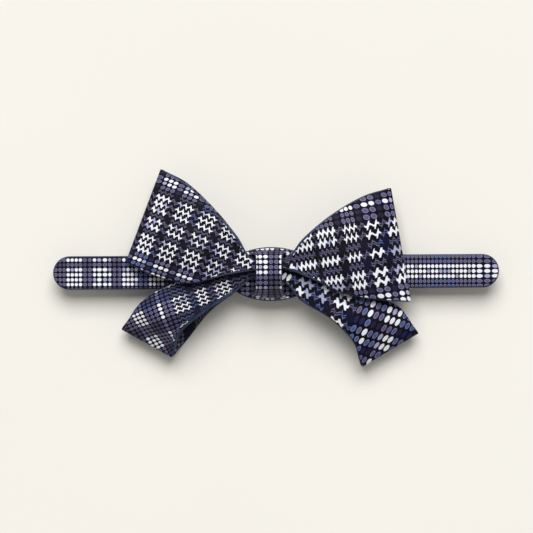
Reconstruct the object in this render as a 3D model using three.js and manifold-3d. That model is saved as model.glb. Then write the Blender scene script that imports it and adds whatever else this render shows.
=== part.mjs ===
// A pre-tied bow tie that clips under the collar: two folded bows gathered by a knot band over an oval
// base, on a short strap with two sprung clips behind it. Millimetres, +X to the tie's right as seen from
// the front, +Y up the tie, +Z out of its front. The tie lies on its back.

import * as THREE from "three";
import { mergeVertices } from "three/addons/utils/BufferGeometryUtils.js";
import Module from "manifold-3d";

const wasm = await Module();
wasm.setup();

// Cloth and its core
const CLOTH = 0.4; // thickness of the woven cloth
const CORE = 0.8; // thickness of the felt core between two cloths
const BOND = 0.14; // clearance between pieces that are glued or sewn together
const RIM = 0.5; // how far the core shows past the cloth at each edge
const PLY = CORE + 2 * (BOND + CLOTH); // a bow's whole thickness

// Strap, with its middle at the design origin
const STRAP_LENGTH = 191.8;
const STRAP_WIDTH = 14.4;
const STRAP_BACK = 8.6; // height of its back above the surface that the loops stand on
const STRAP_CORE_BACK = STRAP_BACK + CLOTH + BOND;
const STRAP_FACE_BACK = STRAP_CORE_BACK + CORE + BOND;
const STRAP_TOP = STRAP_FACE_BACK + CLOTH;

// Oval base
const OVAL = { x: -2.2, y: -0.9 };
const OVAL_LENGTH = 39.6;
const SLOT_WALL = 1.0; // oval left outside each slot
const SLOT_CLEARANCE = 0.4;
const SLOT_WIDTH = CORE + BOND + CLOTH + 2 * SLOT_CLEARANCE;
// The slots and the band in them curve in towards the strap at their ends, more so on a wider strap.
const SLOT_INSET = 0.0875 * STRAP_WIDTH; // from the strap's edge to the middle of each slot's inner side
const BAND_GAP = STRAP_WIDTH / 28.8; // between the strap's edge and the knot band's core beside it
const OVAL_MARGIN = SLOT_INSET + SLOT_WIDTH + SLOT_WALL; // how far the oval reaches past the strap's edge
const OVAL_HEIGHT = STRAP_WIDTH + 2 * OVAL_MARGIN;
const OVAL_CORE_BACK = STRAP_TOP + BOND;
const OVAL_FACE_BACK = OVAL_CORE_BACK + CORE + BOND;
const OVAL_TOP = OVAL_FACE_BACK + CLOTH;
const SLOT_MIDDLE = OVAL_HEIGHT / 2 - SLOT_WALL - SLOT_WIDTH / 2; // from the oval's middle

// Waist, where the bows pass under the knot band
const KNOT_X = -3.1;
const KNOT_WIDTH = 11.4;
const WAIST_REACH = 6.5; // from the knot's middle to where the lobes begin
const BINDING = 0.4; // thickness of the thread wound round the waist
const BINDING_WIDTH = 3;
const BINDING_BACK = OVAL_TOP + BOND;
const WAIST_PITCH = PLY + BOND;
const LOWER_BACK = BINDING_BACK + BINDING + BOND + PLY / 2;
const LOWER_FRONT = LOWER_BACK + WAIST_PITCH;
const UPPER_BACK = LOWER_FRONT + WAIST_PITCH;
const UPPER_FRONT = UPPER_BACK + WAIST_PITCH;
const BINDING_FRONT = UPPER_FRONT + PLY / 2 + BOND;
const CREST = BINDING_FRONT + BINDING + BOND + CORE / 2; // middle of the band's core over the waist

// Heights of a ply's middle surface
const ON_STRAP = STRAP_TOP + BOND + PLY / 2; // lying on the strap
const ON_TABLE = PLY / 2; // touching the surface under the tie
const DRAWN_PLY = 1.88; // thickness of the plies that the lobes' heights were drawn for
const aboveStrap = (height) => ON_STRAP + (height * PLY) / DRAWN_PLY;

// Clips
const CLIP_FROM_END = 23; // hinge to the strap's end
const CLIP_WIDTH = 9.6;
const CLIP_SHEET = 0.8; // thickness of the metal
const JAW_LENGTH = 13.2;
const TAIL_LENGTH = 10.6;
const BASE_TAIL = 9.2;
const PIN_RADIUS = 0.8;
const PIN_CLEARANCE = 0.06;
const PIN_HEAD_RADIUS = 1.4;
const PIN_HEAD = 0.5;
const LUG_RADIUS = 1.8;
const LUG_GAP = 0.3; // between the base's lugs and the lever's cheeks
const BASE_RISE = 2.6; // base plate's underside above the hinge
const LEVER_DROP = 2.2; // lever's upper face below the hinge
const TOOTH = 0.85;
const TOOTH_GAP = 0.15;
const TEETH = 5;
const WIRE = 0.6;
const COIL_CLEARANCE = 0.25;
const COIL_TURNS = 3.5;
const COIL_PITCH = 0.9;
const SPRING_LEG = 4.8;
const RIVET_RADIUS = 0.8;
const RIVET_CLEARANCE = 0.12;
const RIVET_HEAD_RADIUS = 2.0;
const RIVET_HEAD = 0.4;
const RIVET_FOOT_RADIUS = 1.3;
const RIVET_FOOT = 0.5;
const RIVET_RECESS = 0.5; // depth of the pocket in the strap core
const RIVETS = { tail: -6.8, jaw: 5.5 }; // along the clip, from the hinge
const HINGE_HEIGHT = STRAP_BACK - BOND - CLIP_SHEET - BASE_RISE;

const SEAM_THREAD = 0.5;
const SEAM_STITCH = 2.4;

const v2 = (x, y) => new THREE.Vector2(x, y);
const v3 = (x, y, z) => new THREE.Vector3(x, y, z);

const finish = (color, roughness, metalness = 0) =>
  new THREE.MeshStandardMaterial({ color, roughness, metalness });

const WOVEN = { color: "#2b2c45", roughness: 0.85 };
const NAVY = { color: "#24395c", roughness: 0.9 };
const LINING = { color: "#1a2138", roughness: 0.8 };
const THREAD = { color: "#1d2a4a", roughness: 0.7 };
const NICKEL = { color: "#b9bcc2", roughness: 0.3, metalness: 0.95 };
const STEEL = { color: "#8d9198", roughness: 0.35, metalness: 0.95 };

function piece(name, geometry, look) {
  const mesh = new THREE.Mesh(geometry, finish(look.color, look.roughness, look.metalness));
  mesh.name = name;
  return mesh;
}

// ---------------------------------------------------------------- cutting and joining

function solidOf(geometry) {
  const bare = geometry.index ? geometry.clone() : geometry;
  const positions = new THREE.BufferGeometry().setAttribute("position", bare.getAttribute("position"));
  if (bare.index) positions.setIndex(bare.index);
  const merged = mergeVertices(positions, 1e-4);
  return new wasm.Manifold(
    new wasm.Mesh({
      numProp: 3,
      vertProperties: new Float32Array(merged.attributes.position.array),
      triVerts: new Uint32Array(merged.index.array),
    }),
  );
}

function geometryOf(solid) {
  const mesh = solid.getMesh();
  return new THREE.BufferGeometry()
    .setAttribute("position", new THREE.BufferAttribute(mesh.vertProperties, 3))
    .setIndex(new THREE.BufferAttribute(mesh.triVerts, 1));
}

const joined = (geometries) =>
  geometryOf(geometries.map(solidOf).reduce((whole, next) => whole.add(next)));

const cut = (geometry, tools) =>
  geometryOf(tools.map(solidOf).reduce((whole, tool) => whole.subtract(tool), solidOf(geometry)));

// ---------------------------------------------------------------- simple shapes

// A shape in the XY plane made into a plate whose back lies at the given height.
function plate(shape, thickness, back, curveSegments = 12) {
  return new THREE.ExtrudeGeometry(shape, { depth: thickness, bevelEnabled: false, curveSegments })
    .translate(0, 0, back);
}

// A profile drawn in X and Z, extruded along Y from one side to the other.
function alongY(shape, from, to, curveSegments = 8) {
  return new THREE.ExtrudeGeometry(shape, { depth: to - from, bevelEnabled: false, curveSegments })
    .rotateX(Math.PI / 2)
    .translate(0, to, 0);
}

// A round bar along Z between two heights.
function barZ(radius, from, to, sides = 16) {
  return new THREE.CylinderGeometry(radius, radius, to - from, sides)
    .rotateX(Math.PI / 2)
    .translate(0, 0, (from + to) / 2);
}

function stadium(length, width) {
  const r = width / 2;
  const reach = length / 2 - r;
  return new THREE.Shape()
    .absarc(reach, 0, r, -Math.PI / 2, Math.PI / 2, false)
    .absarc(-reach, 0, r, Math.PI / 2, (3 * Math.PI) / 2, false);
}

function polygon(points) {
  return new THREE.Shape(points.map(([x, y]) => v2(x, y)));
}

function roundBox(left, right, low, high, r) {
  return new THREE.Shape()
    .absarc(right - r, low + r, r, -Math.PI / 2, 0, false)
    .absarc(right - r, high - r, r, 0, Math.PI / 2, false)
    .absarc(left + r, high - r, r, Math.PI / 2, Math.PI, false)
    .absarc(left + r, low + r, r, Math.PI, (3 * Math.PI) / 2, false);
}

// ---------------------------------------------------------------- ribbons that close on themselves

// A ribbon is a list of stations round the ring. Each station is a section across the ribbon through its
// bottom, middle and top points; the sections in between follow smooth closed curves through those points.
function ribbonGrid(stations, columns) {
  const curves = ["bottom", "middle", "top"].map(
    (key) => new THREE.CatmullRomCurve3(stations.map((station) => station[key]), true),
  );
  const rows = [];
  stations.forEach((station, i) => {
    for (let step = 0; step < station.steps; step++) {
      const u = (i + step / station.steps) / stations.length;
      const [bottom, middle, top] = curves.map((curve) => curve.getPoint(u));
      rows.push(section(bottom, middle, top, columns));
    }
  });
  return rows;
}

// Points across a ribbon on the parabola through its bottom, middle and top.
function section(bottom, middle, top, columns) {
  return Array.from({ length: columns + 1 }, (_, i) => {
    const t = (2 * i) / columns - 1;
    return v3(0, 0, 0)
      .addScaledVector(bottom, (t * (t - 1)) / 2)
      .addScaledVector(middle, 1 - t * t)
      .addScaledVector(top, (t * (t + 1)) / 2);
  });
}

// The ribbon's outward normal at each grid point.
function gridNormals(rows) {
  const last = rows[0].length - 1;
  return rows.map((row, i) => {
    const before = rows.at(i - 1);
    const after = rows[(i + 1) % rows.length];
    return row.map((_, j) => {
      const along = after[j].clone().sub(before[j]);
      const across = row[Math.min(j + 1, last)].clone().sub(row[Math.max(j - 1, 0)]);
      return along.cross(across).normalize();
    });
  });
}

// One layer of a ribbon: a closed solid between two offsets from the middle surface, its edges drawn in
// by the rim along the outermost facets, so that neighbouring layers stay parallel.
function ribbonLayer(rows, from, to, rim) {
  const normals = gridNormals(rows);
  const last = rows[0].length - 1;
  const drawnIn = (points, row, j) => {
    if (j !== 0 && j !== last) return points[j].clone();
    const inner = j === 0 ? 1 : last - 1;
    return points[j].clone().lerp(points[inner], rim / row[j].distanceTo(row[inner]));
  };
  const positions = [];
  for (const offset of [to, from]) {
    rows.forEach((row, i) => {
      row.forEach((_, j) => {
        const normal = drawnIn(normals[i], row, j).normalize();
        positions.push(...drawnIn(row, row, j).addScaledVector(normal, offset));
      });
    });
  }
  const sheet = rows.length * (last + 1);
  const at = (layer, i, j) => layer * sheet + (i % rows.length) * (last + 1) + j;
  const faces = [];
  const quad = (a, b, c, d) => faces.push(a, b, c, a, c, d);
  for (let i = 0; i < rows.length; i++) {
    for (let j = 0; j < last; j++) {
      quad(at(0, i, j), at(0, i + 1, j), at(0, i + 1, j + 1), at(0, i, j + 1));
      const [a, b, c, d] = [at(1, i, j), at(1, i + 1, j), at(1, i + 1, j + 1), at(1, i, j + 1)];
      faces.push(a, c, b, a, d, c);
    }
    quad(at(1, i, 0), at(1, i + 1, 0), at(0, i + 1, 0), at(0, i, 0));
    quad(at(0, i, last), at(0, i + 1, last), at(1, i + 1, last), at(1, i, last));
  }
  return new THREE.BufferGeometry()
    .setAttribute("position", new THREE.Float32BufferAttribute(positions, 3))
    .setIndex(faces);
}

// ---------------------------------------------------------------- the two bows

// Where the outline and the heights of a lobe are given, as shares of the way from waist to fold.
const SHARES = [0.22, 0.5, 0.8];

// Each lobe runs from the waist to its end fold. swell is how far an edge bows up the tie from the straight
// line between its ends, height is the middle surface's, and rise lifts the ply's middle above its edges.
const LOBES = {
  upperLeft: {
    waist: { top: v2(KNOT_X - WAIST_REACH, 5.4), bottom: v2(KNOT_X - WAIST_REACH, 0.6) },
    fold: { top: v3(-48.6, 44.3, ON_STRAP - 0.7), bottom: v3(-63.8, 4.2, ON_STRAP + 2.7), roll: 1.6 },
    front: {
      top: { swell: [2.0, 3.0, 2.6], height: [8.3, 6.3, 2.3].map(aboveStrap) },
      bottom: { swell: [-2.7, -7.1, -4.4], height: [8.9, 9.3, 6.8].map(aboveStrap) },
      rise: [-1.0, 3.0, 3.0],
    },
    back: {
      top: { swell: [2.2, 3.7, 3.3], height: [ON_STRAP - 1.7, ON_TABLE - 0.15, ON_TABLE + 4] },
      bottom: { swell: [-2.5, -6.6, -4.0], height: [6.4, 5.9, 3.9].map(aboveStrap) },
      rise: [0, 3.0, 1.5],
    },
  },
  upperRight: {
    waist: { top: v2(KNOT_X + WAIST_REACH, 5.0), bottom: v2(KNOT_X + WAIST_REACH, 1.2) },
    fold: { top: v3(48.8, 35.8, ON_STRAP + 0.1), bottom: v3(57.1, -13.2, ON_STRAP + 3.3), roll: 1.6 },
    front: {
      top: { swell: [3.1, 4.6, 3.4], height: [8.8, 7.3, 3.8].map(aboveStrap) },
      bottom: { swell: [-1.1, -3.7, -2.3], height: [8.3, 7.8, 6.8].map(aboveStrap) },
      rise: [-1.0, 2.5, 3.0],
    },
    back: {
      top: { swell: [2.9, 4.3, 3.1], height: [ON_STRAP - 0.2, ON_TABLE - 0.15, ON_TABLE + 4] },
      bottom: { swell: [-0.8, -3.2, -2.0], height: [6.0, 5.0, 3.9].map(aboveStrap) },
      rise: [0.5, 3.8, 1.5],
    },
  },
  lowerLeft: {
    waist: { top: v2(KNOT_X - WAIST_REACH, 2.0), bottom: v2(KNOT_X - WAIST_REACH, -2.6) },
    fold: { top: v3(-66.4, -23.7, ON_STRAP - 3.7), bottom: v3(-44.5, -36.1, ON_STRAP - 3.2), roll: 3.0 },
    front: {
      top: { swell: [3.5, 7.9, 6.6], height: [3.5, 2.8, 2.4].map(aboveStrap) },
      bottom: { swell: [1.2, 4.0, 5.0], height: [3.7, 4.8, 5.3].map(aboveStrap) },
      rise: [0.2, 2.0, 3.0],
    },
    back: {
      top: { swell: [3.3, 7.5, 6.2], height: [1.7, 0.7, -0.3].map(aboveStrap) },
      bottom: { swell: [1.2, 2.9, 1.0], height: [aboveStrap(1.7), ON_TABLE + 3.2, ON_TABLE + 0.1] },
      rise: [0, 3.2, 0],
    },
  },
  lowerRight: {
    waist: { top: v2(KNOT_X + WAIST_REACH, 1.6), bottom: v2(KNOT_X + WAIST_REACH, -4.6) },
    fold: { top: v3(60.9, -26.1, ON_STRAP - 3.7), bottom: v3(36.3, -40.6, ON_STRAP - 3.2), roll: 2.4 },
    front: {
      top: { swell: [2.2, 3.6, 6.3], height: [3.6, 2.0, 0.3].map(aboveStrap) },
      bottom: { swell: [0, 3.9, 4.4], height: [3.7, 3.6, 1.8].map(aboveStrap) },
      rise: [0.2, 1.6, 2.5],
    },
    back: {
      top: { swell: [2.0, 3.2, 5.9], height: [1.7, -0.2, -3.2].map(aboveStrap) },
      bottom: { swell: [0.2, 4.1, 4.6], height: [aboveStrap(1.7), ON_TABLE + 3.6, ON_TABLE + 0.1] },
      rise: [0, 1.2, 0],
    },
  },
};

function station(top, bottom, rise, steps) {
  const middle = top.clone().add(bottom).multiplyScalar(0.5);
  middle.z += rise;
  return { top, middle, bottom, steps };
}

// An edge's points between the waist and the fold corner.
function edge(from, to, { swell, height }) {
  const chord = v2(to.x - from.x, to.y - from.y);
  const up = v2(-chord.y, chord.x).normalize().multiplyScalar(Math.sign(chord.x));
  return SHARES.map((share, i) => {
    const x = from.x + chord.x * share + up.x * swell[i];
    const y = from.y + chord.y * share + up.y * swell[i];
    return v3(x, y, height[i]);
  });
}

// A ply's stations from the waist outwards, without the waist itself and the fold.
function ply(lobe, side, steps) {
  const top = edge(lobe.waist.top, lobe.fold.top, lobe[side].top);
  const bottom = edge(lobe.waist.bottom, lobe.fold.bottom, lobe[side].bottom);
  return SHARES.map((_, i) => station(top[i], bottom[i], lobe[side].rise[i], steps));
}

// The station just inside the fold, on the front (up = 1) or the back (up = -1), on the way to the ply's
// outermost station.
function besideFold(lobe, outermost, up, steps) {
  const { roll } = lobe.fold;
  const corner = (key) => {
    const inwards = v2(outermost[key].x - lobe.fold[key].x, outermost[key].y - lobe.fold[key].y);
    inwards.setLength(1.3 * roll);
    return lobe.fold[key].clone().add(v3(inwards.x, inwards.y, up * roll));
  };
  return station(corner("top"), corner("bottom"), 0, steps);
}

function waistStation(lobe, height, steps) {
  const at = (key) => v3(lobe.waist[key].x, lobe.waist[key].y, height);
  return station(at("top"), at("bottom"), 0, steps);
}

// Round the ring: in along the left lobe's front, out along the right's, and home along the backs.
function bowStations(left, right, front, back) {
  const tip = (lobe) => station(lobe.fold.top.clone(), lobe.fold.bottom.clone(), 0, 3);
  const leftFront = ply(left, "front", 3);
  const leftBack = ply(left, "back", 3);
  const rightFront = ply(right, "front", 3);
  const rightBack = ply(right, "back", 3);
  return [
    tip(left),
    besideFold(left, leftFront.at(-1), 1, 2),
    ...leftFront.reverse(),
    waistStation(left, front, 1),
    waistStation(right, front, 2),
    ...rightFront,
    besideFold(right, rightFront.at(-1), 1, 3),
    tip(right),
    besideFold(right, rightBack.at(-1), -1, 2),
    ...rightBack.reverse(),
    waistStation(right, back, 1),
    waistStation(left, back, 2),
    ...leftBack,
    besideFold(left, leftBack.at(-1), -1, 3),
  ];
}

function laminate(name, stations, columns) {
  const rows = ribbonGrid(stations, columns);
  const inner = CORE / 2 + BOND;
  return [
    piece(name + "_outer_cloth", ribbonLayer(rows, inner, inner + CLOTH, RIM), WOVEN),
    piece(name + "_core", ribbonLayer(rows, -CORE / 2, CORE / 2, 0), NAVY),
    piece(name + "_inner_cloth", ribbonLayer(rows, -inner - CLOTH, -inner, RIM), WOVEN),
  ];
}

function bows() {
  const { upperLeft, upperRight, lowerLeft, lowerRight } = LOBES;
  return [
    ...laminate("upper_bow", bowStations(upperLeft, upperRight, UPPER_FRONT, UPPER_BACK), 6),
    ...laminate("lower_bow", bowStations(lowerLeft, lowerRight, LOWER_FRONT, LOWER_BACK), 6),
  ];
}

// Thread wound round the gathered waist, as one flat ring.
function waistBinding() {
  const points = Object.values(LOBES).flatMap((lobe) => [lobe.waist.top.y, lobe.waist.bottom.y]);
  const low = Math.min(...points) - BOND;
  const high = Math.max(...points) + BOND;
  const ring = (grow) =>
    roundBox(low - grow, high + grow, BINDING_BACK + BINDING - grow, BINDING_FRONT + grow, 0.4 + grow);
  const outer = ring(BINDING);
  outer.holes.push(ring(0));
  const geometry = new THREE.ExtrudeGeometry(outer, {
    depth: BINDING_WIDTH,
    bevelEnabled: false,
    curveSegments: 3,
  });
  // the profile's first axis is Y and its second is Z, so the depth runs along X
  geometry.applyMatrix4(new THREE.Matrix4().makeBasis(v3(0, 1, 0), v3(0, 0, 1), v3(1, 0, 0)));
  geometry.translate(KNOT_X - BINDING_WIDTH / 2, 0, 0);
  return { mesh: piece("waist_binding", geometry, THREAD), low: low - BINDING, high: high + BINDING };
}

// ---------------------------------------------------------------- oval base and knot band

// How far an arc that follows the oval's outline has come back towards its middle line at x.
const ovalShare = (x) => Math.sqrt(1 - ((x - OVAL.x) / (OVAL_LENGTH / 2)) ** 2);

const SLOT_HALF_LENGTH = KNOT_WIDTH / 2 + 2;

// A slot that follows the oval's outline, at the top (side = 1) or the bottom (side = -1).
function slot(side) {
  const reach = SLOT_HALF_LENGTH + SLOT_CLEARANCE;
  const count = 6;
  const edgeAt = (offset) =>
    Array.from({ length: count + 1 }, (_, i) => {
      const x = KNOT_X - reach + (2 * reach * i) / count;
      return v2(x, OVAL.y + side * (SLOT_MIDDLE * ovalShare(x) + offset));
    });
  return new THREE.Path([...edgeAt(-SLOT_WIDTH / 2), ...edgeAt(SLOT_WIDTH / 2).reverse()]);
}

function ovalOutline(inset) {
  const outline = new THREE.Shape().absellipse(
    OVAL.x,
    OVAL.y,
    OVAL_LENGTH / 2 - inset,
    OVAL_HEIGHT / 2 - inset,
    0,
    2 * Math.PI,
  );
  outline.holes.push(slot(1), slot(-1));
  return outline;
}

function ovalBase() {
  return [
    piece("oval_base_core", plate(ovalOutline(0), CORE, OVAL_CORE_BACK, 32), NAVY),
    piece("oval_base_cloth", plate(ovalOutline(RIM), CLOTH, OVAL_FACE_BACK, 32), WOVEN),
  ];
}

// The band goes over the waist, down through the oval's two slots and closes behind the strap.
function knotStations(binding) {
  const back = STRAP_BACK - BOND - CORE / 2;
  const half = KNOT_WIDTH / 2;
  const slotHigh = OVAL.y + SLOT_MIDDLE;
  const slotLow = OVAL.y - SLOT_MIDDLE;
  // the cloth lies outside the core, so the core keeps to the slot's inner side
  const inSlot = CLOTH / 2;
  const strapEdge = STRAP_WIDTH / 2;
  const besideStrap = strapEdge + BAND_GAP + CORE / 2;
  const across = (y, z, halfWidth, steps, follows = 0) => {
    const at = (x) => v3(x, y - follows * (1 - ovalShare(x)) * (y - OVAL.y), z);
    return {
      bottom: at(KNOT_X - halfWidth),
      middle: at(KNOT_X),
      top: at(KNOT_X + halfWidth),
      steps,
    };
  };
  return [
    across(binding.high - 0.3, CREST, half, 2),
    across(binding.low + 0.1, CREST, half, 2),
    across((binding.low + slotLow) / 2 - 0.6, CREST - 4, half + 0.5, 2, 0.6),
    across(slotLow + inSlot, OVAL_TOP + 1.2, half + 1.7, 2, 1),
    across(slotLow + inSlot, OVAL_CORE_BACK - 0.3, half + 2, 3, 1),
    across(-besideStrap, back + 0.1, half + 0.6, 2, 0.6),
    across(-strapEdge + 1.2, back, half, 1),
    across(-2.4, back, half, 1),
    across(2.4, back, half, 1),
    across(strapEdge - 1.2, back, half, 2),
    across(besideStrap, back + 0.1, half + 0.6, 3, 0.6),
    across(slotHigh - inSlot, OVAL_CORE_BACK - 0.3, half + 2, 2, 1),
    across(slotHigh - inSlot, OVAL_TOP + 1.2, half + 1.7, 2, 1),
    across((binding.high + slotHigh) / 2 + 0.6, CREST - 3.5, half + 0.5, 2, 0.6),
  ];
}

function knotBand(binding) {
  const rows = ribbonGrid(knotStations(binding), 4);
  const inner = CORE / 2 + BOND;
  return [
    piece("knot_band_core", ribbonLayer(rows, -CORE / 2, CORE / 2, 0), NAVY),
    piece("knot_band_cloth", ribbonLayer(rows, inner, inner + CLOTH, RIM), WOVEN),
  ];
}

// Three stitches across the band's closing seam, behind the strap.
function seamStitches() {
  const height = STRAP_BACK - 2 * BOND - CORE - CLOTH - BOND - SEAM_THREAD / 2;
  return ["left", "middle", "right"].map((side, i) => {
    const stitch = new THREE.CapsuleGeometry(SEAM_THREAD / 2, SEAM_STITCH, 2, 6);
    stitch.translate(KNOT_X + (i - 1) * 3.2, -4.4, height);
    return piece("seam_stitch_" + side, stitch, THREAD);
  });
}

// ---------------------------------------------------------------- strap

const HINGE_X = STRAP_LENGTH / 2 - CLIP_FROM_END;

// Where the four rivets go through the strap.
const RIVET_PLACES = [-1, 1].flatMap((side) =>
  [RIVETS.tail, RIVETS.jaw].map((along) => side * (HINGE_X + along)),
);

function withRivetHoles(outline) {
  for (const x of RIVET_PLACES) {
    const hole = new THREE.Path().absarc(x, 0, RIVET_RADIUS + RIVET_CLEARANCE, 0, 2 * Math.PI, true);
    outline.holes.push(hole);
  }
  return outline;
}

function strap() {
  const core = plate(withRivetHoles(stadium(STRAP_LENGTH, STRAP_WIDTH)), CORE, STRAP_CORE_BACK);
  const pocketFloor = STRAP_CORE_BACK + CORE - RIVET_RECESS;
  const pockets = RIVET_PLACES.map((x) =>
    barZ(RIVET_HEAD_RADIUS + RIVET_CLEARANCE, pocketFloor, STRAP_FACE_BACK).translate(x, 0, 0),
  );
  const cloth = stadium(STRAP_LENGTH - 2 * RIM, STRAP_WIDTH - 2 * RIM);
  const lining = withRivetHoles(stadium(STRAP_LENGTH - 2 * RIM, STRAP_WIDTH - 2 * RIM));
  return [
    piece("strap_face_cloth", plate(cloth, CLOTH, STRAP_FACE_BACK), WOVEN),
    piece("strap_core", cut(core, pockets), NAVY),
    piece("strap_back_lining", plate(lining, CLOTH, STRAP_BACK), LINING),
  ];
}

// ---------------------------------------------------------------- clips
// A clip is drawn about its hinge, with its mouth towards +X and the strap above it.

const LUG_OUTER = CLIP_WIDTH / 2;
const LUG_INNER = LUG_OUTER - CLIP_SHEET;
const CHEEK_OUTER = LUG_INNER - LUG_GAP;
const CHEEK_INNER = CHEEK_OUTER - CLIP_SHEET;
const COIL_RADIUS = PIN_RADIUS + COIL_CLEARANCE + WIRE / 2;

function pinHole() {
  return new THREE.Path().absarc(0, 0, PIN_RADIUS + PIN_CLEARANCE, 0, 2 * Math.PI, true);
}

// A lug or cheek: a round eye on the hinge, on a foot that reaches the plate it belongs to.
function eye(footLeft, footRight, footHeight) {
  const up = Math.sign(footHeight);
  const shape = new THREE.Shape();
  shape.absarc(0, 0, LUG_RADIUS, up > 0 ? Math.PI : 0, up > 0 ? 2 * Math.PI : Math.PI, false);
  shape.lineTo(up > 0 ? footRight : footLeft, footHeight);
  shape.lineTo(up > 0 ? footLeft : footRight, footHeight);
  shape.holes.push(pinHole());
  return shape;
}

function clipBase() {
  const half = CLIP_WIDTH / 2;
  const outline = new THREE.Shape()
    .moveTo(-BASE_TAIL, -half + 1.5)
    .lineTo(-BASE_TAIL + 1.5, -half)
    .lineTo(4, -half)
    .absarc(JAW_LENGTH - 3.4, 0, 3.4, -Math.PI / 2, Math.PI / 2, false)
    .lineTo(4, half)
    .lineTo(-BASE_TAIL + 1.5, half)
    .lineTo(-BASE_TAIL, half - 1.5);
  for (const along of [RIVETS.tail, RIVETS.jaw]) {
    const hole = new THREE.Path().absarc(along, 0, RIVET_RADIUS + RIVET_CLEARANCE, 0, 2 * Math.PI, true);
    outline.holes.push(hole);
  }
  const lug = eye(-2.8, 2.8, BASE_RISE + CLIP_SHEET / 2);
  return joined([
    plate(outline, CLIP_SHEET, BASE_RISE, 8),
    alongY(lug, LUG_INNER, LUG_OUTER),
    alongY(lug, -LUG_OUTER, -LUG_INNER),
  ]);
}

// The lever's plate runs under the hinge and rises to the jaw, where its teeth meet the base plate.
function clipLever() {
  const top = BASE_RISE - TOOTH_GAP - TOOTH;
  const flat = -LEVER_DROP;
  const profile = polygon([
    [-TAIL_LENGTH, flat],
    [-TAIL_LENGTH, flat - CLIP_SHEET],
    [1.9, flat - CLIP_SHEET],
    [JAW_LENGTH - 2.2, top - CLIP_SHEET],
    [JAW_LENGTH, top - CLIP_SHEET],
    [JAW_LENGTH, top],
    [JAW_LENGTH - 2.4, top],
    [1.5, flat],
  ]);
  const jawHalf = CHEEK_OUTER - 0.2;
  const toothPitch = (2 * jawHalf) / TEETH;
  const crown = [];
  for (let i = 0; i < TEETH; i++) {
    const start = -jawHalf + i * toothPitch;
    crown.push([start, 0], [start + toothPitch / 2, TOOTH]);
  }
  const foot = -CLIP_SHEET / 2;
  const comb = polygon([[jawHalf, foot], [jawHalf, 0], ...crown.reverse(), [-jawHalf, foot]]);
  const teeth = new THREE.ExtrudeGeometry(comb, { depth: 1.2, bevelEnabled: false });
  // the comb's first axis is Y and its second is Z, so the depth runs along X
  teeth.applyMatrix4(new THREE.Matrix4().makeBasis(v3(0, 1, 0), v3(0, 0, 1), v3(1, 0, 0)));
  teeth.translate(JAW_LENGTH - 1.5, 0, top);
  const cheek = eye(-2.8, 2.8, flat - CLIP_SHEET / 2);
  return joined([
    alongY(profile, -CHEEK_OUTER, CHEEK_OUTER),
    alongY(cheek, CHEEK_INNER, CHEEK_OUTER),
    alongY(cheek, -CHEEK_OUTER, -CHEEK_INNER),
    teeth,
  ]);
}

// A pin with a head at each end, along Y.
function hingePin() {
  const half = LUG_OUTER + 0.1;
  const profile = [
    v2(0, -half - PIN_HEAD),
    v2(PIN_HEAD_RADIUS - 0.2, -half - PIN_HEAD),
    v2(PIN_HEAD_RADIUS, -half - PIN_HEAD + 0.2),
    v2(PIN_HEAD_RADIUS, -half),
    v2(PIN_RADIUS, -half),
    v2(PIN_RADIUS, half),
    v2(PIN_HEAD_RADIUS, half),
    v2(PIN_HEAD_RADIUS, half + PIN_HEAD - 0.2),
    v2(PIN_HEAD_RADIUS - 0.2, half + PIN_HEAD),
    v2(0, half + PIN_HEAD),
  ];
  return new THREE.LatheGeometry(profile, 16);
}

// Wound on the pin, with one leg along the base plate and the other along the lever's tail.
function torsionSpring() {
  const start = (-COIL_TURNS * COIL_PITCH) / 2;
  const baseLeg = BASE_RISE - BOND - WIRE / 2;
  const leverLeg = -LEVER_DROP + BOND + WIRE / 2;
  const points = [v3(-SPRING_LEG, start, baseLeg), v3(-SPRING_LEG / 2, start, (baseLeg + COIL_RADIUS) / 2)];
  const perTurn = 10;
  for (let i = 0; i <= COIL_TURNS * perTurn; i++) {
    const angle = (2 * Math.PI * i) / perTurn;
    const y = start + (COIL_PITCH * i) / perTurn;
    points.push(v3(COIL_RADIUS * Math.sin(angle), y, COIL_RADIUS * Math.cos(angle)));
  }
  const end = -start;
  points.push(v3(-SPRING_LEG / 2, end, (leverLeg - COIL_RADIUS) / 2), v3(-SPRING_LEG, end, leverLeg));
  const path = new THREE.CatmullRomCurve3(points);
  const wire = new THREE.Shape().absarc(0, 0, WIRE / 2, 0, 2 * Math.PI, false);
  return new THREE.ExtrudeGeometry(wire, {
    extrudePath: path,
    steps: Math.round(COIL_TURNS * 12 + 8),
    curveSegments: 3,
  });
}

// A rivet along Z: a flat head in the strap core's pocket and a foot under the base plate.
function rivet() {
  const headTop = STRAP_CORE_BACK + CORE - HINGE_HEIGHT;
  const footTop = BASE_RISE - BOND;
  const profile = [
    v2(0, footTop - RIVET_FOOT),
    v2(RIVET_FOOT_RADIUS - 0.2, footTop - RIVET_FOOT),
    v2(RIVET_FOOT_RADIUS, footTop - RIVET_FOOT + 0.2),
    v2(RIVET_FOOT_RADIUS, footTop),
    v2(RIVET_RADIUS, footTop),
    v2(RIVET_RADIUS, headTop - RIVET_HEAD),
    v2(RIVET_HEAD_RADIUS, headTop - RIVET_HEAD),
    v2(RIVET_HEAD_RADIUS, headTop),
    v2(0, headTop),
  ];
  return new THREE.LatheGeometry(profile, 16).rotateX(Math.PI / 2);
}

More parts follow.
